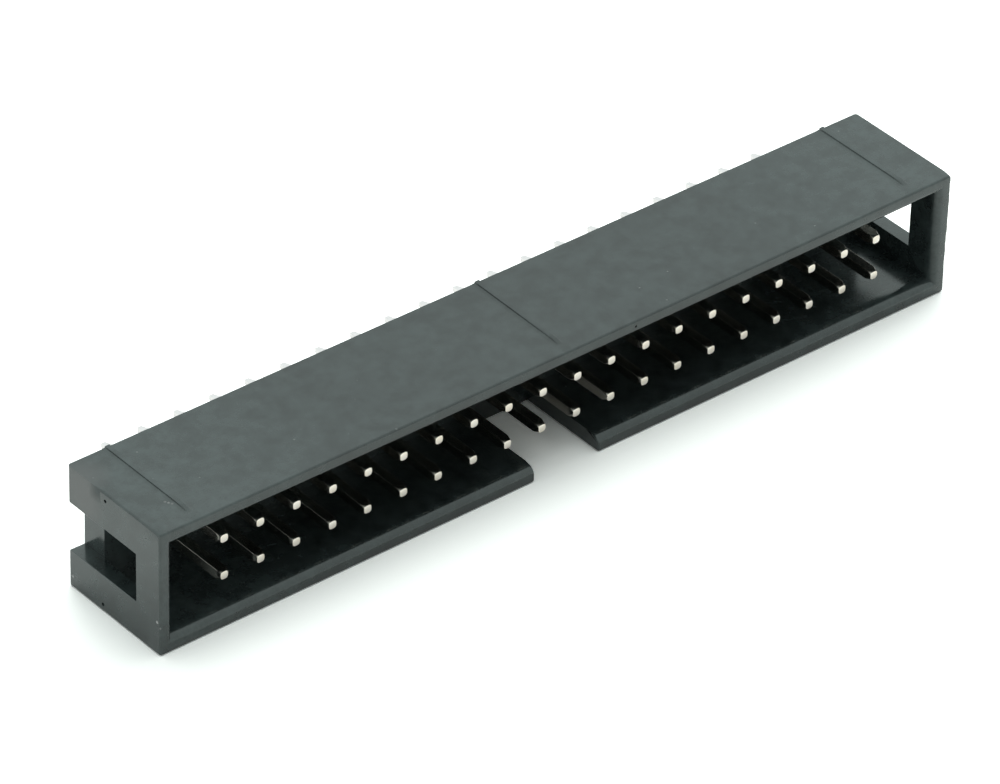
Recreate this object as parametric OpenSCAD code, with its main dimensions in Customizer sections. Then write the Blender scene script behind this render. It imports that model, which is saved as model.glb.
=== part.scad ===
// Two-row box header: a moulded shroud, open at the mating side, that holds
// square contacts with straight solder tails.
// It lies on its keyed long wall: X runs along the rows, Y runs from the
// mating rim to the board, and Z stands across the two rows.
// The origin is at the centre of the resting face's bounding rectangle.

/* [Contacts] */
// Contact positions in each of the two rows
positions = 20; // [5:1:29]
// Spacing of the contacts along a row
pitch = 2.54; // [2.1:0.01:3.2]
// Spacing between the two rows
row_spacing = 2.54; // [2:0.01:3]
// Side of the square contact wire
pin_side = 0.64; // [0.5:0.02:0.8]
// Distance from the rim back to the contact tips
tip_recess = 0.75; // [0.3:0.05:2]
// Length of the solder tails beyond the board face
tail_length = 3.5; // [2:0.1:5]
// Length of the slight bevel at the mating end of a contact
tip_length = 0.4; // [0.2:0.05:0.8]
// Depth of that bevel on each side of the wire
tip_bevel = 0.06; // [0.02:0.01:0.2]
// Length of the taper at the end of a solder tail
taper_length = 1; // [0.4:0.1:1.5]
// Depth of that taper on each side of the wire
taper_depth = 0.17; // [0.04:0.01:0.2]
// Overall width of the retention barbs inside the base
barb_width = 0.9; // [0.82:0.02:1.2]
// Length of the retention barbs along the contact
barb_length = 0.8; // [0.4:0.1:1.2]

/* [Housing] */
// Width across the two long walls
housing_width = 8.25; // [7.6:0.05:12]
// Depth from the mating rim to the board face
housing_depth = 8.4; // [6.8:0.1:14]
// Distance from the last contact's centre to the outside of the end wall
end_margin = 5.02; // [3.2:0.01:8]
// Thickness of the two long walls
side_wall = 1.05; // [0.9:0.05:1.4]
// Thickness of the two end walls
end_wall = 1; // [0.8:0.05:1.6]
// Thickness of the base that grips the contacts
base_thickness = 2; // [1.6:0.1:3]
// Width of the rounded lead-in, measured across the rim
lead_in_width = 0.52; // [0.2:0.02:0.6]
// Depth of the rounded lead-in, measured from the rim
lead_in_depth = 0.8; // [0.2:0.05:1.5]

/* [Keying slot] */
// Width of the polarising slot in the keyed wall
slot_width = 4.74; // [3:0.02:6]

/* [End windows] */
// Width of the window in each end wall, measured across the rows
window_width = 3.25; // [2:0.05:4.5]
// Distance from the rim to the window's front edge
window_start = 2.2; // [1:0.1:4]

/* [Ribs] */
// Width of the three ribs on the wall opposite the slot
rib_width = 0.4; // [0.3:0.02:0.8]
// Height of the ribs above the wall
rib_height = 0.12; // [0.1:0.02:0.4]
// Distance from the rim to the ribs' rounded front ends
rib_stop = 0.95; // [0.5:0.05:3]
// Distance from the end face to the centre of each outer rib
rib_inset = 2.75; // [1:0.05:6]

/* [Hidden] */
$fn = 48;
// Overrun that lets a cut pass clean through a face
cut = 1;
// How far a rib reaches down into the wall that carries it
rib_root = 0.2;
// Straight steps that follow the lead-in's quarter oval
lead_in_steps = 6;

contact_count = 2 * positions;
row_length = (positions - 1) * pitch;
half_length = row_length / 2 + end_margin;
half_cavity_length = half_length - end_wall;
mid_z = housing_width / 2;
half_cavity_width = mid_z - side_wall;

// Stations along Y, with the whole part centred on Y = 0
rim_y = -(housing_depth + tail_length) / 2;
board_y = rim_y + housing_depth;
floor_y = board_y - base_thickness;
tip_y = rim_y + tip_recess;
tail_y = board_y + tail_length;
barb_y = (floor_y + board_y) / 2;

moulded_black = [0.13, 0.14, 0.14];
plated_gold = [0.85, 0.72, 0.42];

// contact_01 is beside the slot wall at the -X end, and numbers alternate rows
function contact_name(n) = str("contact_", n < 10 ? "0" : "", n);
function contact_x(n) = floor((n - 1) / 2) * pitch - row_length / 2;
function contact_z(n) = mid_z + (n % 2 == 0 ? 0.5 : -0.5) * row_spacing;

// Outline of a contact from the side: a slight bevel, a straight run and a taper
module contact_outline() {
    side = pin_side / 2;
    tip = side - tip_bevel;
    tail = side - taper_depth;
    polygon([
        [-tip, tip_y], [tip, tip_y],
        [side, tip_y + tip_length], [side, tail_y - taper_length],
        [tail, tail_y], [-tail, tail_y],
        [-side, tail_y - taper_length], [-side, tip_y + tip_length]
    ]);
}

// Square wire, drawn in on all four sides at both ends
module contact_wire() {
    intersection() {
        linear_extrude(height = pin_side, center = true) contact_outline();
        rotate([0, 90, 0])
            linear_extrude(height = pin_side, center = true) contact_outline();
    }
}

// Flattened ears that keep the contact from sliding through the base
module contact_barbs() {
    translate([0, barb_y, 0])
        cube([barb_width, barb_length, pin_side], center = true);
}

module contact(n) {
    color(plated_gold)
        translate([contact_x(n), 0, contact_z(n)])
            union() {
                contact_wire();
                contact_barbs();
            }
}

// Square passage through the base, with a pocket for the barbs
module contact_passage() {
    translate([-pin_side / 2, floor_y - cut, -pin_side / 2])
        cube([pin_side, base_thickness + 2 * cut, pin_side]);
    contact_barbs();
}

module outer_block() {
    translate([-half_length, rim_y, 0])
        cube([2 * half_length, housing_depth, housing_width]);
}

// Raised rib with a round front end, lying on the wall opposite the slot
module rib(x) {
    front_y = rim_y + rib_stop;
    translate([x, 0, housing_width - rib_root])
        linear_extrude(height = rib_root + rib_height)
            union() {
                translate([0, front_y + rib_width / 2]) circle(d = rib_width);
                translate([-rib_width / 2, front_y + rib_width / 2])
                    square([rib_width, board_y - front_y - rib_width / 2]);
            }
}

// Straight-sided space that takes the mating socket
module mating_cavity() {
    translate([-half_cavity_length, rim_y - cut, side_wall])
        cube([2 * half_cavity_length, floor_y - rim_y + cut, 2 * half_cavity_width]);
}

// One side of the lead-in, rounding from the cavity's own half size out to the rim
function lead_in_side(half_size) = [
    for (step = [0 : lead_in_steps])
        let (turn = 90 * step / lead_in_steps)
        [half_size + lead_in_width * (1 - cos(turn)), rim_y + lead_in_depth * (1 - sin(turn))]
];

// Outline of the lead-in, wide at the rim and as narrow as the cavity at its back
module lead_in_outline(half_size) {
    right = lead_in_side(half_size);
    left = [for (i = [lead_in_steps : -1 : 0]) [-right[i].x, right[i].y]];
    widest = half_size + lead_in_width;
    polygon(concat(right, [[widest, rim_y - cut], [-widest, rim_y - cut]], left));
}

// Rounded lead-in along all four walls, mitred at the corners
module lead_in() {
    span = 2 * (half_length + housing_width);
    translate([0, 0, mid_z])
        intersection() {
            linear_extrude(height = span, center = true)
                lead_in_outline(half_cavity_length);
            rotate([0, 90, 0])
                linear_extrude(height = span, center = true)
                    lead_in_outline(half_cavity_width);
        }
}

// Polarising slot, open from the rim down to the cavity's floor
module keying_slot() {
    translate([-slot_width / 2, rim_y - cut, -cut])
        cube([slot_width, floor_y - rim_y + cut, side_wall + cut + lead_in_width]);
}

// Window through one end wall, left open along the end of the base
module end_window(side) {
    reach = end_wall + cut;
    translate([side * (half_cavity_length + reach / 2), 0, mid_z])
        translate([-reach / 2, rim_y + window_start, -window_width / 2])
            cube([reach, housing_depth - window_start + cut, window_width]);
}

module housing() {
    color(moulded_black)
        difference() {
            union() {
                outer_block();
                for (x = [-1, 0, 1] * (half_length - rib_inset)) rib(x);
            }
            mating_cavity();
            lead_in();
            keying_slot();
            for (side = [-1, 1]) end_window(side);
            for (n = [1 : contact_count])
                translate([contact_x(n), 0, contact_z(n)]) contact_passage();
        }
}

housing();
for (n = [1 : contact_count])
    contact(n);
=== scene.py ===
"""Two-row box header: a moulded shroud and forty square contacts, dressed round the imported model.

X runs along the rows, Y from the mating rim to the solder tails, Z up from the keyed wall.
"""

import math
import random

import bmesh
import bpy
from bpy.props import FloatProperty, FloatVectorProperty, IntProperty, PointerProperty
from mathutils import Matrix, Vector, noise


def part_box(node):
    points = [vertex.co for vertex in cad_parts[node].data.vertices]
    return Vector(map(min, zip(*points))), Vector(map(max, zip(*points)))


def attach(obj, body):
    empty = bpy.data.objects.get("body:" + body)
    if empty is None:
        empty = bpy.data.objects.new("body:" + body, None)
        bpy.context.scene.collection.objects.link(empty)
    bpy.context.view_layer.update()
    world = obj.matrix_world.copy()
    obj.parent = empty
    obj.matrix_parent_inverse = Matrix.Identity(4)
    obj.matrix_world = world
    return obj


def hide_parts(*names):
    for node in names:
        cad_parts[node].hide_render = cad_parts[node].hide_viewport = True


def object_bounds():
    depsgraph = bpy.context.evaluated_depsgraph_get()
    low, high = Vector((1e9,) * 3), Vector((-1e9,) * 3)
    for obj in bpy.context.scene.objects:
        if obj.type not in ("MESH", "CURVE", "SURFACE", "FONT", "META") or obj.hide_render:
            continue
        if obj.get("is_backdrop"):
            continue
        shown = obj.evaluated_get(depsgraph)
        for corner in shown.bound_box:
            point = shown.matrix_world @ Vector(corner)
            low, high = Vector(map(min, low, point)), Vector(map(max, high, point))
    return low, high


bl_info = {
    "name": "Box Header",
    "version": (1, 0, 0),
    "blender": (4, 5, 0),
    "location": "View3D > Sidebar > Box Header",
    "description": "Builds the shroud, the contacts and a studio stage for a two-row box header",
    "category": "Add Mesh",
}

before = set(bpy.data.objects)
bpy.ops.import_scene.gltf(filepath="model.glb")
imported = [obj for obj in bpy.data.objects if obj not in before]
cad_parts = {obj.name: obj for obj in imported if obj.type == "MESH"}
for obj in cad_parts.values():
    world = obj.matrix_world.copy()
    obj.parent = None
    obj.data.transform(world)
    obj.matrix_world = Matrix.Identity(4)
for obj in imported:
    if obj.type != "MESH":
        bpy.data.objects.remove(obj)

MM = 0.001
BODY = "root"
CONTACT_NAMES = sorted(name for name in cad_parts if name.startswith("contact_"))

# Two places closer than this are the same place
TINY = 0.001 * MM

# Spacing of the shroud's grid along the rows, and the room kept free of it
GRID_STEP = 2.6 * MM
CLEAR_OF_RIB = 0.7 * MM
CLEAR_OF_WALL = 0.3 * MM

# An edge of the shroud that turns by less than the first counts as flat. One that turns by more
# than the second is rounded over, and by more than the third is shaded as a crisp edge.
FLAT_ANGLE = math.radians(3)
ROUNDED_ANGLE = math.radians(25)
CRISP_ANGLE = math.radians(30)

# An edge of a contact that turns by more than this is shaded as a crisp one
CRISP_WIRE_ANGLE = math.radians(50)

# How far the floor runs out in metres, and how far below the header it lies
FLOOR_REACH = 4
FLOOR_GAP = 0.02 * MM

# Scuffs on the plastic, and one wide patch of painted reflection: place and radius in millimetres,
# and how light each one is
SCUFFS_AND_PAINTED_SHEEN = (
    ((-12.56, -5.89, 8.25), 0.16, 0.30),
    ((-29.15, -5.68, 2.22), 0.13, 0.45),
    ((-29.15, -5.95, 1.90), 0.12, 0.25),
    ((-29.15, 2.08, 0.75), 0.12, 0.35),
    # Painted reflection, not a scuff: this wide patch lightens the back of the -X end face to stand
    # in for the brighter reflection there
    ((-29.15, 1.10, 7.00), 2.20, 0.075),
    ((-26.97, -3.57, 8.25), 0.10, 0.12),
    ((-26.87, -3.76, 8.25), 0.10, 0.16),
    ((-26.77, -3.95, 8.25), 0.10, 0.12),
)

# Share of the radius of a scuff or of the painted patch that has its full tint
SCUFF_AND_PAINTED_SHEEN_CORE = 0.4

# Colour of the dust, and how far the plastic's roughness drifts either way
DUST_GREY = (0.35, 0.36, 0.34, 1.0)
CLOUDINESS = 0.03

# Small pits in the plastic: place, radius and depth in millimetres
PITS = (
    ((-29.15, -1.00, 7.73), 0.11, 0.2),
    ((-29.15, -0.70, 0.47), 0.11, 0.2),
    ((4.86, -5.95, 7.74), 0.08, 0.2),
)

# A rib's section from -X to +X: distance from its centre in millimetres, share of its height
RIB_SECTION = (
    (-0.46, 0.0),
    (-0.34, 0.08),
    (-0.25, 0.20),
    (-0.19, 0.30),
    (-0.17, 0.92),
    (-0.06, 1.0),
    (0.12, 1.0),
    (0.16, 0.10),
    (0.26, 0.0),
)


def length(name, description, default, **extra):
    """A size property, given in millimetres and kept in metres."""
    return FloatProperty(
        name=name, description=description, default=default * MM,
        unit="LENGTH", precision=5, **extra,
    )


def colour(name, description, default):
    """A linear colour property."""
    return FloatVectorProperty(
        name=name, description=description, default=default,
        subtype="COLOR", min=0, max=1,
    )


class BoxHeaderShroud(bpy.types.PropertyGroup):
    """Sizes and finish of the moulded shroud."""

    side_wall: length("Side wall", "Thickness of the two long walls", 1.05)
    end_wall: length("End wall", "Thickness of the two end walls", 1.0)
    base: length("Base", "Thickness of the base that grips the contacts", 2.0)
    lead_width: length("Lead-in width", "Width of the rounded lip inside the rim", 0.52)
    lead_depth: length("Lead-in depth", "Depth of the rounded lip inside the rim", 0.8)
    lead_steps: IntProperty(
        name="Lead-in steps", description="Flats that follow the rounded lip", default=9, min=3,
    )
    slot_width: length("Slot width", "Width of the polarising slot", 4.74)
    window_width: length("Window width", "Width of each end window across the rows", 3.25)
    window_start: length("Window start", "Rim to the front edge of each end window", 2.2)
    rib_height: length("Rib height", "Height of the three ribs", 0.12)
    rib_stop: length("Rib stop", "Rim to the ribs' front ends", 0.95)
    rib_ramp: length("Rib ramp", "Length over which a rib rises from its front end", 0.5)
    rib_inset: length("Rib inset", "End face to the centre of each outer rib", 2.75)
    outer_radius: length("Outer radius", "Rounding of the outside edges", 0.14)
    foot_radius: length("Foot radius", "Rounding of the edges that it lies on", 0.12)
    ledge_radius: length("Ledge radius", "Rounding of the lower ledges at the board face", 0.35)
    board_radius: length("Board radius", "Rounding of the upright corners at the board face", 0.18)
    slot_radius: length("Slot radius", "Rounding of the polarising slot's mouth", 0.12)
    inner_radius: length("Inner radius", "Rounding of the edges of pockets", 0.04)
    parting: length("Parting step", "Rim to the parting line on the -X end face", 5.35)
    parting_step: length("Parting height", "How far the back of the -X end face is proud", 0.012)
    parting_ramp: length("Parting ramp", "Width of the step at the parting line", 0.2)
    bow: length("Bow", "How far the ribbed wall sags at mid length", 0.14)
    ragged: length("Ragged edge", "How far the +X end's rim corner is worn back", 0.08)
    ragged_step: length("Ragged step", "Height of one tooth of that worn corner", 0.3)
    ragged_reach: length("Ragged reach", "How far back from the rim that wear fades out", 0.18)
    tint: colour("Plastic", "Colour of the moulded plastic", (0.021, 0.028, 0.028))
    roughness: FloatProperty(
        name="Roughness", description="Roughness of the moulded surface",
        default=0.17, min=0, max=1,
    )


class BoxHeaderContacts(bpy.types.PropertyGroup):
    """Sizes and finish of the contacts."""

    tip_length: length("Tip length", "Length of the slight bevel at the mating end", 0.4)
    tip_bevel: length("Tip bevel", "Depth of that bevel on each side", 0.06)
    tip_corner: length("Tip corner", "Rounding of the end face's corners", 0.17)
    taper_length: length("Taper length", "Length of the taper at the end of a tail", 1.0)
    taper_depth: length("Taper depth", "Depth of that taper on each side", 0.17)
    corner: length("Corner radius", "Rounding of the drawn wire's corners", 0.03)
    edge: length("Edge radius", "Rounding round the two end faces", 0.012)
    barb_length: length("Barb length", "Length of the retention barbs in the base", 0.8)
    clearance: length("Clearance", "Gap round a contact in its passage", 0.01)
    flare: length("Flare", "Chamfer at both mouths of a passage", 0.07)
    lean: FloatProperty(
        name="Lean", description="Largest lean of a contact off its axis",
        default=math.radians(0.25), subtype="ANGLE",
    )
    seed: IntProperty(name="Seed", description="Chooses the small leans", default=4)
    tint: colour("Plating", "Colour of the bare plating at the mating end", (0.96, 0.89, 0.81))
    # Partly painted shade: the shaft's colour is darker partly as a duller finish and partly to stand
    # in for the dark cavity that it reflects
    dull_and_shaded: colour("Dull plating", "Colour of the plating down the shaft", (0.47, 0.45, 0.41))
    roughness: FloatProperty(
        name="Roughness", description="Roughness of the plating",
        default=0.1, min=0, max=1,
    )
    dull_roughness: FloatProperty(
        name="Dull roughness", description="Roughness of the plating down the shaft",
        default=0.2, min=0, max=1,
    )
    tin: colour("Tin", "Colour of the tinned tails", (0.88, 0.85, 0.85))
    tin_roughness: FloatProperty(
        name="Tin roughness", description="Roughness of the tinned tails",
        default=0.3, min=0, max=1,
    )


class BoxHeaderStage(bpy.types.PropertyGroup):
    """Camera, floor and lamps."""

    lens: FloatProperty(
        name="Lens", description="Focal length of the camera", default=250.4, unit="CAMERA",
    )
    distance: length("Distance", "Camera to the point that it looks at", 399.4)
    azimuth: FloatProperty(
        name="Azimuth", description="Heading of the view, from +Y towards +X",
        default=math.radians(40.36), subtype="ANGLE",
    )
    elevation: FloatProperty(
        name="Elevation", description="Height of the camera above the horizon",
        default=math.radians(35.41), subtype="ANGLE",
    )
    roll: FloatProperty(
        name="Roll", description="Turn of the camera about its own axis",
        default=math.radians(1.65), subtype="ANGLE",
    )
    aim: FloatVectorProperty(
        name="Aim", description="Point that the camera looks at, from the middle of the box",
        default=(-0.83 * MM, -0.85 * MM, -1.44 * MM), subtype="TRANSLATION", precision=5,
    )
    floor: colour("Floor", "Colour of the pale floor", (0.8, 0.8, 0.79))
    floor_gain: FloatProperty(
        name="Floor gain", description="How much lighter the floor is to the eye than as a lamp",
        default=2.1, min=0,
    )
    mirror_gain: FloatProperty(
        name="Mirror gain", description="How much lighter the floor is in reflections than as a lamp",
        default=1.33, min=0,
    )
    light: colour("Light", "Colour of the lamps and of the even light", (0.94, 1.0, 0.98))
    sky: colour("Sky", "Colour of the surroundings in reflections", (0.92, 1.0, 0.985))
    front: FloatProperty(
        name="Front", description="Even light from in front, as a share of that from behind",
        default=0.55, min=0, max=1,
    )
    front_sky: FloatProperty(
        name="Front sky", description="Reflected surroundings in front, as a share of those behind",
        default=0.82, min=0, max=1,
    )
    ambient: FloatProperty(
        name="Ambient", description="Strength of the even light from behind the header",
        default=0.5, min=0,
    )
    key: FloatProperty(
        name="Key", description="Radiance of the large lamp behind the header",
        default=1.5, min=0,
    )
    overhead: FloatProperty(
        name="Overhead", description="Radiance of the lamp straight above the header",
        default=1.2, min=0,
    )
    side: FloatProperty(
        name="Side", description="Radiance of the lamp beyond the +X end",
        default=0.2, min=0,
    )


class BoxHeaderSettings(bpy.types.PropertyGroup):
    """Everything that can be changed about the header and its stage."""

    shroud: PointerProperty(type=BoxHeaderShroud)
    contacts: PointerProperty(type=BoxHeaderContacts)
    stage: PointerProperty(type=BoxHeaderStage)


# ---------------------------------------------------------------- mesh helpers


def new_object(name, mesh):
    """Links a new object that shows the mesh."""
    obj = bpy.data.objects.new(name, mesh)
    bpy.context.scene.collection.objects.link(obj)
    return obj


def finish_mesh(bm, name):
    """Turns a bmesh into a mesh and frees it."""
    bmesh.ops.recalc_face_normals(bm, faces=bm.faces)
    mesh = bpy.data.meshes.new(name)
    bm.to_mesh(mesh)
    bm.free()
    return mesh


def apply_modifiers(obj):
    """Replaces the object's mesh by what its modifiers make of it."""
    depsgraph = bpy.context.evaluated_depsgraph_get()
    mesh = bpy.data.meshes.new_from_object(obj.evaluated_get(depsgraph))
    obj.modifiers.clear()
    obj.data = mesh


def rounded_rectangle(width, height, radius, steps=3):
    """Corner points of a rounded rectangle round the origin, anticlockwise."""
    points = []
    for turn, (sx, sz) in enumerate(((1, 1), (-1, 1), (-1, -1), (1, -1))):
        cx = sx * (width / 2 - radius)
        cz = sz * (height / 2 - radius)
        for step in range(steps + 1):
            angle = math.radians(90) * (turn + step / steps)
            points.append((cx + radius * math.cos(angle), cz + radius * math.sin(angle)))
    return points


def loft(bm, sections):
    """Closed skin through outlines with equal point counts; each section is (y, outline)."""
    rings = [[bm.verts.new((x, y, z)) for x, z in outline] for y, outline in sections]
    for near, far in zip(rings, rings[1:]):
        for i in range(len(near)):
            j = (i + 1) % len(near)
            bm.faces.new((near[i], near[j], far[j], far[i]))
    bm.faces.new(rings[0])
    bm.faces.new(rings[-1])


def spread(low, high, step):
    """Evenly spaced stations from low to high, about a step apart."""
    count = max(1, round((high - low) / step))
    return [low + (high - low) * i / count for i in range(count + 1)]


# ---------------------------------------------------------------- shroud


class ShroudShape:
    """Where the shroud's walls, pockets and ribs lie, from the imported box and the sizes."""

    def __init__(self, sizes):
        low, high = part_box("housing")
        self.sizes = sizes
        self.rim = low.y
        self.board = high.y
        self.half_length = high.x
        self.top = high.z - sizes.rib_height
        self.middle = self.top / 2
        self.floor = self.board - sizes.base
        self.lead_end = self.rim + sizes.lead_depth
        self.half_cavity = self.half_length - sizes.end_wall
        self.half_height = self.middle - sizes.side_wall
        self.window_front = self.rim + sizes.window_start
        self.parting = self.rim + sizes.parting
        self.rib_front = self.rim + sizes.rib_stop
        reach = self.half_length - sizes.rib_inset
        self.ribs = (-reach, 0.0, reach)
        self.walls = {0.0, sizes.side_wall, self.top - sizes.side_wall, self.top}
        self.walls |= {self.middle + side * sizes.window_width / 2 for side in (-1, 1)}
        self.teeth = self.worn_heights()

    def worn_heights(self):
        """Heights of the worn corner's teeth, clear of the walls and of the rounded lip."""
        sizes = self.sizes
        near = sizes.ragged_step / 2
        lip_edge = sizes.side_wall - sizes.lead_width - near
        heights = []
        for z in spread(0.0, self.top, sizes.ragged_step):
            in_lip = lip_edge < min(z, self.top - z) < sizes.side_wall
            if not in_lip and all(abs(z - wall) > near for wall in self.walls):
                heights.append(z)
        return heights

    def planes(self):
        """Grid planes across X, Y and Z that every edge of the shroud lies on."""
        sizes = self.sizes
        xs = set(spread(-self.half_cavity, self.half_cavity, GRID_STEP))
        for rib in self.ribs:
            xs = {x for x in xs if abs(x - rib) > CLEAR_OF_RIB}
            xs |= {rib + offset * MM for offset, share in RIB_SECTION}
        edges = (self.half_length, self.half_cavity, sizes.slot_width / 2)
        xs = {x for x in xs if all(abs(abs(x) - edge) > CLEAR_OF_WALL for edge in edges)}
        xs |= {side * edge for edge in edges for side in (-1, 1)}
        ys = {self.window_front, self.floor, self.board}
        ys |= {self.parting, self.parting - sizes.parting_ramp}
        ys |= {self.rib_front, self.rib_front + sizes.rib_ramp}
        for step in range(sizes.lead_steps + 1):
            turn = math.radians(90) * step / sizes.lead_steps
            ys.add(self.rim + sizes.lead_depth * (1 - math.sin(turn)))
        zs = self.walls | set(self.teeth)
        return [sorted(values) for values in (xs, ys, zs)]

    def is_plastic(self, x, y, z):
        """Whether the point lies in the moulding, before slopes and ribs are added."""
        sizes = self.sizes
        before_base = y < self.floor
        in_end_wall = abs(x) > self.half_cavity
        in_cavity = before_base and not in_end_wall and abs(z - self.middle) < self.half_height
        in_slot = before_base and abs(x) < sizes.slot_width / 2 and z < sizes.side_wall
        in_window = (
            in_end_wall
            and y > self.window_front
            and abs(z - self.middle) < sizes.window_width / 2
        )
        return not (in_cavity or in_slot or in_window)

    def rib_lift(self, x, y):
        """Height of the ribs above the wall at a point."""
        sizes = self.sizes
        risen = min(1.0, max(0.0, (y - self.rib_front) / sizes.rib_ramp))
        for rib in self.ribs:
            for offset, share in RIB_SECTION:
                if abs(x - rib - offset * MM) < TINY:
                    return sizes.rib_height * risen * share
        return 0.0

    def lip_spread(self, y):
        """How far the rounded lip stands back from the cavity's walls."""
        sizes = self.sizes
        inward = min(1.0, max(0.0, (y - self.rim) / sizes.lead_depth))
        return sizes.lead_width * (1 - math.sqrt(1 - (1 - inward) ** 2))

    def worn_back(self, z):
        """How far the rim's outer corner at the +X end stands back at a height."""
        worn_below = 0.75
        worn_above = 0.2
        unevenness = 0.5
        share = worn_below if z < self.middle else worn_above
        tooth = noise.noise(Vector((z / self.sizes.ragged_step * 0.8, 0.5, 0.5)))
        return self.sizes.ragged * min(1.0, max(0.0, share + unevenness * tooth))

    def place(self, point):
        """Moves a grid point to where the moulding has it."""
        sizes = self.sizes
        x, y, z = point
        if abs(abs(x) - self.half_cavity) < TINY:
            x += math.copysign(self.lip_spread(y), x)
        if abs(abs(z - self.middle) - self.half_height) < TINY:
            z += math.copysign(self.lip_spread(y), z - self.middle)
        if x > self.half_length - TINY and y < self.rim + sizes.ragged_reach:
            x -= self.worn_back(z) * (1 - (y - self.rim) / sizes.ragged_reach)
        if x < TINY - self.half_length and y < self.parting - TINY:
            x += sizes.parting_step
        in_ribbed_wall = z > self.middle + self.half_height - TINY
        if in_ribbed_wall:
            along = 1 - (x / self.half_length) ** 2
            forward = (self.board - y) / (self.board - self.rim)
            z -= sizes.bow * max(0.0, along) * forward
        if point[2] > self.top - TINY:
            z += self.rib_lift(x, y)
        return Vector((x, y, z))


def shroud_cells(shape):
    """Skin of the filled grid cells, as quads that share their corners."""
    planes = shape.planes()
    counts = [len(values) - 1 for values in planes]

    def middle(axis, index):
        return (planes[axis][index] + planes[axis][index + 1]) / 2

    filled = set()
    for i in range(counts[0]):
        for j in range(counts[1]):
            for k in range(counts[2]):
                if shape.is_plastic(middle(0, i), middle(1, j), middle(2, k)):
                    filled.add((i, j, k))

    bm = bmesh.new()
    corners = {}

    def corner(key):
        if key not in corners:
            point = [planes[axis][key[axis]] for axis in range(3)]
            corners[key] = bm.verts.new(shape.place(point))
        return corners[key]

    for cell in filled:
        for axis in range(3):
            for side in (0, 1):
                beyond = list(cell)
                beyond[axis] += 2 * side - 1
                if tuple(beyond) in filled:
                    continue
                ring = []
                for du, dv in ((0, 0), (1, 0), (1, 1), (0, 1)):
                    key = list(cell)
                    key[axis] += side
                    key[(axis + 1) % 3] += du
                    key[(axis + 2) % 3] += dv
                    ring.append(corner(tuple(key)))
                bm.faces.new(ring if side else ring[::-1])
    bm.normal_update()
    return bm


def join_flats(bm, shape):
    """Takes out the lip's and the teeth's grid lines wherever they only cross a flat face."""

    def is_spare(edge):
        if len(edge.link_faces) != 2 or edge.calc_face_angle() > FLAT_ANGLE:
            return False
        near, far = (vert.co for vert in edge.verts)
        if abs(near.y - far.y) < TINY and shape.rim + TINY < near.y < shape.lead_end - TINY:
            return True
        in_wear = min(near.x, far.x) > shape.half_cavity and near.y < shape.lead_end
        on_tooth = any(max(abs(near.z - z), abs(far.z - z)) < TINY for z in shape.teeth)
        return on_tooth and not in_wear

    spare = [edge for edge in bm.edges if is_spare(edge)]
    bmesh.ops.dissolve_edges(bm, edges=spare, use_verts=True, use_face_split=False)
    bm.normal_update()


def edge_radius(shape, spots):
    """Rounding of a raised edge, by where both of its ends lie."""
    sizes = shape.sizes
    near = 0.06 * MM
    worn_end = shape.half_length - sizes.ragged - near
    ledge = shape.middle - sizes.window_width / 2

    def along(distance):
        return all(abs(distance(spot)) < near for spot in spots)

    at_end = all(abs(spot.x) > worn_end for spot in spots)
    at_worn_end = all(spot.x > worn_end for spot in spots)
    at_base_end = along(lambda spot: abs(spot.x) - shape.half_cavity)
    at_rim = along(lambda spot: spot.y - shape.rim)
    at_board = along(lambda spot: spot.y - shape.board)
    in_mouth = all(spot.y < shape.lead_end + near for spot in spots)
    at_foot = along(lambda spot: spot.z)
    at_top = all(spot.z > shape.top - sizes.bow - near for spot in spots)
    if at_foot:
        return sizes.foot_radius
    if at_board and along(lambda spot: spot.z - ledge):
        return sizes.ledge_radius
    if at_board and (at_end or at_base_end):
        return sizes.board_radius
    if at_rim and at_worn_end:
        return sizes.inner_radius
    if at_end + at_rim + at_board + at_top > 1:
        return sizes.outer_radius
    if in_mouth:
        return sizes.slot_radius
    return sizes.inner_radius


def mark_edges(bm, shape):
    """Weights the raised edges by their rounding."""
    weight = bm.edges.layers.float.new("bevel_weight_edge")
    for edge in bm.edges:
        if len(edge.link_faces) != 2 or edge.calc_face_angle() < ROUNDED_ANGLE:
            continue
        on_rib = all(vert.co.z > shape.top for vert in edge.verts)
        if on_rib or edge.calc_face_angle_signed() < 0:
            continue
        radius = edge_radius(shape, [vert.co for vert in edge.verts])
        edge[weight] = radius / shape.sizes.ledge_radius


def keep_crisp(mesh):
    """Shades every edge of the shroud that turns far enough as a crisp one."""
    bm = bmesh.new()
    bm.from_mesh(mesh)
    for edge in bm.edges:
        edge.smooth = len(edge.link_faces) != 2 or edge.calc_face_angle(0) < CRISP_ANGLE
    bm.to_mesh(mesh)
    bm.free()


def even_normals(obj):
    """Lets the large flat faces set the shading of the small ones beside them."""
    normals = obj.modifiers.new("flat faces", "WEIGHTED_NORMAL")
    normals.keep_sharp = True
    normals.weight = 100


def passage_cutter(shape, contacts):
    """Solids that cut the contacts' passages and barb pockets through the base."""
    bm = bmesh.new()
    over = 0.5 * MM
    for name in CONTACT_NAMES:
        low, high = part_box(name)
        middle = (low + high) / 2
        side = high.z - low.z + 2 * contacts.clearance
        barb = high.x - low.x + 2 * contacts.clearance
        flare = side + 2 * contacts.flare
        spill = flare + 2 * over
        barb_y = (shape.floor + shape.board) / 2
        half = contacts.barb_length / 2 + contacts.clearance
        stations = (
            (shape.floor - over, spill, spill),
            (shape.floor + contacts.flare, side, side),
            (barb_y - half, side, side),
            (barb_y - half, barb, side),
            (barb_y + half, barb, side),
            (barb_y + half, side, side),
            (shape.board - contacts.flare, side, side),
            (shape.board + over, spill, spill),
        )
        sections = []
        for y, width, height in stations:
            outline = ((width, height), (-width, height), (-width, -height), (width, -height))
            sections.append((y, [(middle.x + w / 2, middle.z + h / 2) for w, h in outline]))
        loft(bm, sections)
    return new_object("passage_cutter", finish_mesh(bm, "passage_cutter"))


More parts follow.
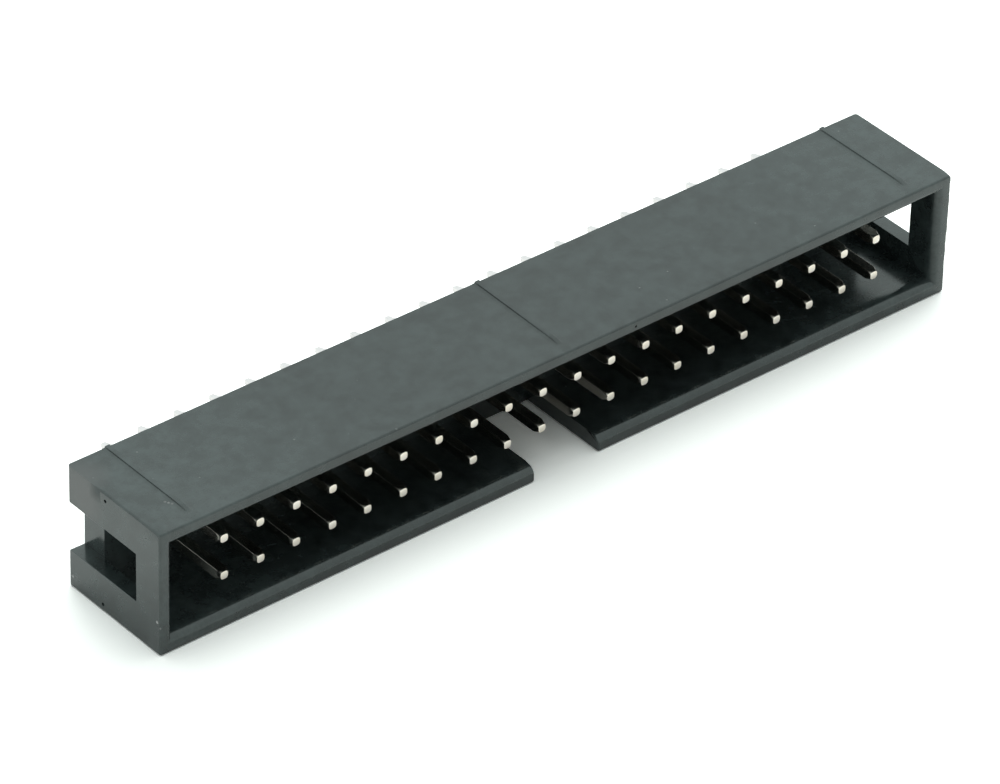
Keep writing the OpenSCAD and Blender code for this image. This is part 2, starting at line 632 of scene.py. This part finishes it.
def pit_cutter():
    """Short studs that cut the small pits, each square to the face that it marks."""
    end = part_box("housing")[0].x
    bm = bmesh.new()
    for spot, radius, depth in PITS:
        place = Vector(spot) * MM
        on_end_face = abs(place.x - end) < 0.05 * MM
        turn = Matrix.Rotation(math.radians(90), 4, "Y" if on_end_face else "X")
        bmesh.ops.create_cone(
            bm, cap_ends=True, segments=14, radius1=radius * MM, radius2=radius * MM,
            depth=2 * depth * MM, matrix=Matrix.Translation(place) @ turn,
        )
    return new_object("pit_cutter", finish_mesh(bm, "pit_cutter"))


def build_shroud(settings):
    """The one-piece moulding, with rounded edges and the contacts' passages."""
    shape = ShroudShape(settings.shroud)
    bm = shroud_cells(shape)
    join_flats(bm, shape)
    mark_edges(bm, shape)
    for face in bm.faces:
        face.smooth = True
    obj = new_object("shroud", finish_mesh(bm, "shroud"))

    bevel = obj.modifiers.new("rounded edges", "BEVEL")
    bevel.limit_method = "WEIGHT"
    bevel.width = settings.shroud.ledge_radius
    bevel.segments = 4
    bevel.use_clamp_overlap = False

    cutters = (passage_cutter(shape, settings.contacts), pit_cutter())
    for cutter in cutters:
        cut = obj.modifiers.new(cutter.name, "BOOLEAN")
        cut.operation = "DIFFERENCE"
        cut.object = cutter
        cut.solver = "EXACT"

    apply_modifiers(obj)
    keep_crisp(obj.data)
    even_normals(obj)
    apply_modifiers(obj)
    for cutter in cutters:
        bpy.data.objects.remove(cutter)
    obj.data.materials.clear()
    obj.data.materials.append(moulded_plastic(settings.shroud))
    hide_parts("housing")
    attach(obj, BODY)


# ---------------------------------------------------------------- contacts


def square(side, radius):
    """Outline of a square with rounded corners."""
    return rounded_rectangle(side, side, radius)


def wire_end(end, inward, wire, flat, run, corners, edge):
    """Sections from an end face to the full wire; inward is 1 or -1 along Y.

    The face is as wide as flat, and corners has its corner radius and the wire's own.
    """
    face_corner, wire_corner = corners
    roundest = 0.45
    sections = []
    for share in (0, 0.5, 1):
        turn = math.radians(90) * share
        width = flat - 2 * edge * (1 - math.sin(turn))
        depth = edge * (1 - math.cos(turn))
        outline = square(width, min(face_corner, width * roundest))
        sections.append((end + inward * depth, outline))
    sections.append((end + inward * run, square(wire, wire_corner)))
    return sections


def contact_sections(sizes, wire, barb_width, tip, tail, barb_middle):
    """Outlines of one contact from its tip to its tail end."""
    corner = sizes.corner
    barb_half = sizes.barb_length / 2
    full = square(wire, corner)
    eared = rounded_rectangle(barb_width, wire, corner)
    mating_end = wire_end(
        tip, 1, wire, wire - 2 * sizes.tip_bevel, sizes.tip_length,
        (sizes.tip_corner, corner), sizes.edge,
    )
    tail_end = wire_end(
        tail, -1, wire, wire - 2 * sizes.taper_depth, sizes.taper_length,
        (corner, corner), 2 * sizes.edge,
    )
    barbs = [
        (barb_middle - barb_half, full),
        (barb_middle - barb_half, eared),
        (barb_middle + barb_half, eared),
        (barb_middle + barb_half, full),
    ]
    return mating_end + barbs + tail_end[::-1]


def build_contacts(settings):
    """Forty separate drawn-wire contacts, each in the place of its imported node."""
    sizes = settings.contacts
    shape = ShroudShape(settings.shroud)
    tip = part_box(CONTACT_NAMES[0])[0].y
    plating = plated_wire(sizes, tip, shape.board)
    draw = random.Random(sizes.seed)
    barb_middle = (shape.floor + shape.board) / 2
    for name in CONTACT_NAMES:
        low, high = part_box(name)
        middle = (low + high) / 2
        bm = bmesh.new()
        loft(bm, contact_sections(
            sizes, high.z - low.z, high.x - low.x, low.y, high.y, barb_middle,
        ))
        for face in bm.faces:
            face.smooth = True
        for edge in bm.edges:
            if len(edge.link_faces) == 2 and edge.calc_face_angle(0) > CRISP_WIRE_ANGLE:
                edge.smooth = False
        lean_x = draw.uniform(-1, 1) * sizes.lean
        lean_z = draw.uniform(-1, 1) * sizes.lean
        for vert in bm.verts:
            ahead = min(0.0, vert.co.y - shape.floor)
            vert.co.x += middle.x + lean_x * ahead
            vert.co.z += middle.z + lean_z * ahead
        obj = new_object(name.replace("contact", "pin"), finish_mesh(bm, name))
        even_normals(obj)
        obj.data.materials.append(plating)
        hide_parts(name)
        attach(obj, BODY)


# ---------------------------------------------------------------- materials


def add_node(tree, kind, inputs=None, **settings):
    """Adds a shader node with its settings, and its sockets' values or links."""
    node = tree.nodes.new(kind)
    for name, value in settings.items():
        setattr(node, name, value)
    for socket, value in (inputs or {}).items():
        if isinstance(value, bpy.types.NodeSocket):
            tree.links.new(value, node.inputs[socket])
        else:
            node.inputs[socket].default_value = value
    return node


def new_material(name):
    """An empty node material with its output node."""
    material = bpy.data.materials.new(name)
    material.use_nodes = True
    material.node_tree.nodes.clear()
    output = add_node(material.node_tree, "ShaderNodeOutputMaterial")
    return material, material.node_tree, output


def noise_field(tree, place, scale, detail=2.0, rough=0.5, stretch=None):
    """Noise over the object's own coordinates; scale is features per millimetre."""
    if stretch:
        mapped = add_node(tree, "ShaderNodeMapping", {"Vector": place, "Scale": stretch})
        place = mapped.outputs["Vector"]
    field = add_node(
        tree, "ShaderNodeTexNoise",
        {"Vector": place, "Scale": scale / MM, "Detail": detail, "Roughness": rough},
    )
    return field.outputs["Fac"]


def remap(tree, value, low, high, to_low, to_high):
    """Linear remap of a value, held inside its new range."""
    node = add_node(
        tree, "ShaderNodeMapRange",
        {"Value": value, "From Min": low, "From Max": high, "To Min": to_low, "To Max": to_high},
    )
    return node.outputs["Result"]


def tinted(tree, factor, first, second):
    """Mixes two colours."""
    node = add_node(tree, "ShaderNodeMix", data_type="RGBA")
    for socket, value in (("Factor_Float", factor), ("A_Color", first), ("B_Color", second)):
        target = next(s for s in node.inputs if s.identifier == socket)
        if isinstance(value, bpy.types.NodeSocket):
            tree.links.new(value, target)
        else:
            target.default_value = value
    return next(s for s in node.outputs if s.identifier == "Result_Color")


def shade(tint, factor):
    """A colour made lighter or darker, with its alpha."""
    return (*[min(1.0, channel * factor) for channel in tint], 1.0)


def moulded_plastic(sizes):
    """Black moulded plastic: satin, faintly grained, with handling smudges, scuffs and dust, and
    painted light that lightens both ends and the back of the -X end face.
    """
    material, tree, output = new_material("moulded black plastic")
    place = add_node(tree, "ShaderNodeTexCoord").outputs["Object"]
    cloud = noise_field(tree, place, scale=0.35, detail=3.0, rough=0.6)
    smudge = noise_field(tree, place, scale=0.9, detail=4.0, rough=0.65)
    grain = noise_field(tree, place, scale=14.0, detail=2.0, rough=0.5)
    ripple = noise_field(tree, place, scale=0.9, detail=1.0, rough=0.4)

    # Painted light: the plastic is made lighter towards both ends and over the end faces, to stand in
    # for the brighter light and reflection that they catch
    along = add_node(tree, "ShaderNodeSeparateXYZ", {0: place}).outputs["X"]
    from_middle = add_node(tree, "ShaderNodeMath", {0: along}, operation="ABSOLUTE").outputs["Value"]
    painted_end_light = remap(tree, from_middle, 15 * MM, 26 * MM, 0.0, 1.0)
    dark = tinted(tree, painted_end_light, shade(sizes.tint, 0.6), shade(sizes.tint, 1.1))
    light = tinted(tree, painted_end_light, shade(sizes.tint, 1.4), shade(sizes.tint, 2.1))
    base = tinted(tree, remap(tree, smudge, 0.36, 0.64, 0.0, 1.0), dark, light)

    # Dust lies in small specks, one in each cell of a loose pattern
    dust = add_node(
        tree, "ShaderNodeTexVoronoi", {"Vector": place, "Scale": 0.55 / MM}, feature="F1",
    ).outputs["Distance"]
    speck = remap(tree, dust, 0.015, 0.04, 0.3, 0.0)
    base = tinted(tree, speck, base, DUST_GREY)

    # Scuffs lighten the plastic round small spots, and one wide patch of painted reflection lightens
    # the back of the -X end face
    for spot, radius, level in SCUFFS_AND_PAINTED_SHEEN:
        away = add_node(
            tree, "ShaderNodeVectorMath",
            {0: place, 1: [value * MM for value in spot]}, operation="DISTANCE",
        ).outputs["Value"]
        scuff_or_painted_sheen = remap(tree, away, radius * MM * SCUFF_AND_PAINTED_SHEEN_CORE, radius * MM, 1.0, 0.0)
        base = tinted(tree, scuff_or_painted_sheen, base, (level, level, level, 1.0))

    rough = remap(
        tree, cloud, 0.3, 0.7, sizes.roughness - CLOUDINESS, sizes.roughness + CLOUDINESS,
    )
    grained = add_node(
        tree, "ShaderNodeBump",
        {"Height": grain, "Strength": 0.04, "Distance": 0.02 * MM},
    )
    waved = add_node(
        tree, "ShaderNodeBump",
        {"Height": ripple, "Strength": 0.03, "Distance": 0.05 * MM,
         "Normal": grained.outputs["Normal"]},
    )
    plastic = add_node(
        tree, "ShaderNodeBsdfPrincipled",
        {"Base Color": base, "Roughness": rough, "IOR": 1.74,
         "Specular Tint": (0.93, 1.0, 0.98, 1.0), "Normal": waved.outputs["Normal"]},
    )
    tree.links.new(plastic.outputs["BSDF"], output.inputs["Surface"])
    return material


def plated_wire(sizes, tip, board):
    """Drawn square wire: pale gold that is bright at the tip and darker behind it, partly a duller
    finish and partly painted shade, with tin on the tails.
    """
    material, tree, output = new_material("plated wire")
    place = add_node(tree, "ShaderNodeTexCoord").outputs["Object"]
    lines = noise_field(tree, place, scale=30.0, detail=2.0, rough=0.5, stretch=(1, 0.04, 1))
    patches = noise_field(tree, place, scale=1.6, detail=3.0, rough=0.6)
    red, green, blue = sizes.tint
    warmer = (red, green * 0.97, blue * 0.9)
    bright = tinted(
        tree, remap(tree, patches, 0.35, 0.7, 0.0, 1.0),
        shade(sizes.tint, 1.0), shade(warmer, 0.95),
    )
    along = add_node(tree, "ShaderNodeSeparateXYZ", {0: place}).outputs["Y"]
    # Partly painted shade: behind the end face the plating turns darker, partly as a duller finish
    # and partly to stand in for the dark cavity that it reflects
    dull_and_shaded_share = remap(tree, along, tip + 0.01 * MM, tip + 0.06 * MM, 0.0, 1.0)
    gold = tinted(tree, dull_and_shaded_share, bright, shade(sizes.dull_and_shaded, 1.0))
    tinned = remap(tree, along, board - 0.4 * MM, board - 0.2 * MM, 0.0, 1.0)
    tint = tinted(tree, tinned, gold, shade(sizes.tin, 1.0))
    streaks = remap(tree, lines, 0.3, 0.7, -0.01, 0.01)
    shaft = remap(tree, dull_and_shaded_share, 0.0, 1.0, sizes.roughness, sizes.dull_roughness)
    beyond = remap(tree, tinned, 0.0, 1.0, 0.0, sizes.tin_roughness - sizes.dull_roughness)
    finish = add_node(
        tree, "ShaderNodeMath", {0: shaft, 1: beyond}, operation="ADD",
    ).outputs["Value"]
    rough = add_node(
        tree, "ShaderNodeMath", {0: finish, 1: streaks}, operation="ADD",
    ).outputs["Value"]
    drawn = add_node(
        tree, "ShaderNodeBump",
        {"Height": lines, "Strength": 0.01, "Distance": 0.01 * MM},
    )
    metal = add_node(
        tree, "ShaderNodeBsdfPrincipled",
        {"Base Color": tint, "Metallic": 1.0, "Roughness": rough,
         "Normal": drawn.outputs["Normal"]},
    )
    tree.links.new(metal.outputs["BSDF"], output.inputs["Surface"])
    return material


def any_ray(tree, *kinds):
    """1 for a ray of one of these kinds, else 0."""
    path = add_node(tree, "ShaderNodeLightPath")
    found = path.outputs[kinds[0]]
    for kind in kinds[1:]:
        found = add_node(
            tree, "ShaderNodeMath", {0: found, 1: path.outputs[kind]}, operation="MAXIMUM",
        ).outputs["Value"]
    return found


def studio_floor(stage):
    """Pale matt paper, light enough to the eye to read as white, with the header's shadow."""
    material, tree, output = new_material("pale floor")

    def paper(gain):
        tint = [channel * gain for channel in stage.floor]
        return add_node(tree, "ShaderNodeBsdfDiffuse", {"Color": (*tint, 1.0)}).outputs[0]

    mirrored = add_node(
        tree, "ShaderNodeMixShader",
        {0: any_ray(tree, "Is Glossy Ray", "Is Transmission Ray"),
         1: paper(1.0), 2: paper(stage.mirror_gain)},
    )
    seen = add_node(
        tree, "ShaderNodeMixShader",
        {0: any_ray(tree, "Is Camera Ray"), 1: mirrored.outputs[0], 2: paper(stage.floor_gain)},
    )
    tree.links.new(seen.outputs[0], output.inputs["Surface"])
    return material


def studio_world(stage):
    """Light from all round, dimmer from in front of the header, and white to the eye."""
    world = bpy.data.worlds.new("studio")
    world.use_nodes = True
    tree = world.node_tree
    tree.nodes.clear()
    toward = add_node(tree, "ShaderNodeTexCoord").outputs["Generated"]
    behind = add_node(tree, "ShaderNodeSeparateXYZ", {0: toward}).outputs["Y"]
    soft_level = remap(tree, behind, -0.8, 0.1, stage.front * stage.ambient, stage.ambient)
    sky_level = remap(tree, behind, -0.8, 0.1, stage.front_sky, 1.0)
    soft = add_node(
        tree, "ShaderNodeBackground", {"Color": (*stage.light, 1.0), "Strength": soft_level},
    )
    sky = add_node(
        tree, "ShaderNodeBackground", {"Color": (*stage.sky, 1.0), "Strength": sky_level},
    )
    white = add_node(tree, "ShaderNodeBackground", {"Color": (1, 1, 1, 1), "Strength": 1.0})
    mirrored = add_node(
        tree, "ShaderNodeMixShader",
        {0: any_ray(tree, "Is Glossy Ray", "Is Transmission Ray"),
         1: soft.outputs[0], 2: sky.outputs[0]},
    )
    seen = add_node(
        tree, "ShaderNodeMixShader",
        {0: any_ray(tree, "Is Camera Ray"), 1: mirrored.outputs[0], 2: white.outputs[0]},
    )
    output = add_node(tree, "ShaderNodeOutputWorld")
    tree.links.new(seen.outputs[0], output.inputs["Surface"])
    bpy.context.scene.world = world


# ---------------------------------------------------------------- stage


def heading(azimuth, elevation):
    """Unit vector of a view that turns from +Y towards +X, and down by the elevation."""
    return Vector((
        math.sin(azimuth) * math.cos(elevation),
        math.cos(azimuth) * math.cos(elevation),
        -math.sin(elevation),
    ))


def area_lamp(name, azimuth, elevation, distance, width, height, radiance, tint):
    """A soft lamp that shines at the header; angles in degrees, sizes in metres."""
    light = bpy.data.lights.new(name, "AREA")
    light.color = tint
    light.shape = "RECTANGLE"
    light.size = width
    light.size_y = height
    light.energy = radiance * math.pi * width * height
    lamp = bpy.data.objects.new(name, light)
    lamp.visible_glossy = False
    bpy.context.scene.collection.objects.link(lamp)
    forward = heading(math.radians(azimuth), math.radians(elevation))
    lamp.location = -forward * distance
    lamp.rotation_mode = "QUATERNION"
    lamp.rotation_quaternion = forward.to_track_quat("-Z", "Y")


def add_camera(stage):
    """Long-lens camera that looks down on the mating side and one end."""
    low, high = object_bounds()
    data = bpy.data.cameras.new("camera")
    data.lens = stage.lens
    data.clip_start = 0.01
    data.clip_end = 10
    camera = bpy.data.objects.new("camera", data)
    bpy.context.scene.collection.objects.link(camera)
    forward = heading(stage.azimuth, stage.elevation)
    camera.location = (low + high) / 2 + Vector(stage.aim) - forward * stage.distance
    turn = Matrix.Rotation(-stage.roll, 4, forward)
    facing = turn.to_quaternion() @ forward.to_track_quat("-Z", "Y")
    camera.rotation_mode = "QUATERNION"
    camera.rotation_quaternion = facing
    bpy.context.scene.camera = camera


def build_stage(settings):
    """Floor, lamps, world and camera."""
    stage = settings.stage
    bpy.context.scene.view_settings.view_transform = "Standard"
    bm = bmesh.new()
    bmesh.ops.create_grid(bm, x_segments=1, y_segments=1, size=FLOOR_REACH)
    floor = new_object("floor", finish_mesh(bm, "floor"))
    floor.location.z = -FLOOR_GAP
    floor.data.materials.append(studio_floor(stage))
    floor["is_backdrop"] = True
    studio_world(stage)
    area_lamp(
        "back softbox", azimuth=228, elevation=38, distance=0.8,
        width=1.0, height=0.8, radiance=stage.key, tint=stage.light,
    )
    area_lamp(
        "side softbox", azimuth=285, elevation=40, distance=0.7,
        width=0.5, height=0.5, radiance=stage.side, tint=stage.light,
    )
    area_lamp(
        "overhead softbox", azimuth=220, elevation=88, distance=0.8,
        width=0.8, height=0.8, radiance=stage.overhead, tint=stage.light,
    )
    add_camera(stage)


# ---------------------------------------------------------------- operators


class BOXHEADER_OT_shroud(bpy.types.Operator):
    """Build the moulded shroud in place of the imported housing"""

    bl_idname = "box_header.shroud"
    bl_label = "Shroud"
    bl_options = {"REGISTER", "UNDO"}

    def execute(self, context):
        build_shroud(context.scene.box_header)
        return {"FINISHED"}


class BOXHEADER_OT_contacts(bpy.types.Operator):
    """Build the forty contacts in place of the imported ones"""

    bl_idname = "box_header.contacts"
    bl_label = "Contacts"
    bl_options = {"REGISTER", "UNDO"}

    def execute(self, context):
        build_contacts(context.scene.box_header)
        return {"FINISHED"}


class BOXHEADER_OT_stage(bpy.types.Operator):
    """Set up the floor, the lamps and the camera"""

    bl_idname = "box_header.stage"
    bl_label = "Stage"
    bl_options = {"REGISTER", "UNDO"}

    def execute(self, context):
        build_stage(context.scene.box_header)
        return {"FINISHED"}


class BOXHEADER_PT_panel(bpy.types.Panel):
    """Lists the header's pieces and its stage"""

    bl_idname = "BOXHEADER_PT_panel"
    bl_label = "Box Header"
    bl_space_type = "VIEW_3D"
    bl_region_type = "UI"
    bl_category = "Box Header"

    def draw(self, context):
        settings = context.scene.box_header
        for operator, group in (
            (BOXHEADER_OT_shroud, settings.shroud),
            (BOXHEADER_OT_contacts, settings.contacts),
            (BOXHEADER_OT_stage, settings.stage),
        ):
            box = self.layout.box()
            box.operator(operator.bl_idname)
            for name in group.__annotations__:
                box.prop(group, name)


CLASSES = (
    BoxHeaderShroud,
    BoxHeaderContacts,
    BoxHeaderStage,
    BoxHeaderSettings,
    BOXHEADER_OT_shroud,
    BOXHEADER_OT_contacts,
    BOXHEADER_OT_stage,
    BOXHEADER_PT_panel,
)


def register():
    """Registers the classes and the settings of a scene."""
    for cls in CLASSES:
        bpy.utils.register_class(cls)
    bpy.types.Scene.box_header = PointerProperty(type=BoxHeaderSettings)


def unregister():
    """Undoes register."""
    del bpy.types.Scene.box_header
    for cls in reversed(CLASSES):
        bpy.utils.unregister_class(cls)


def main():
    """Builds the stage, the shroud and the contacts."""
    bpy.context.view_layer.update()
    register()
    bpy.ops.box_header.stage()
    bpy.ops.box_header.shroud()
    bpy.ops.box_header.contacts()


if __name__ == "__main__":
    main()
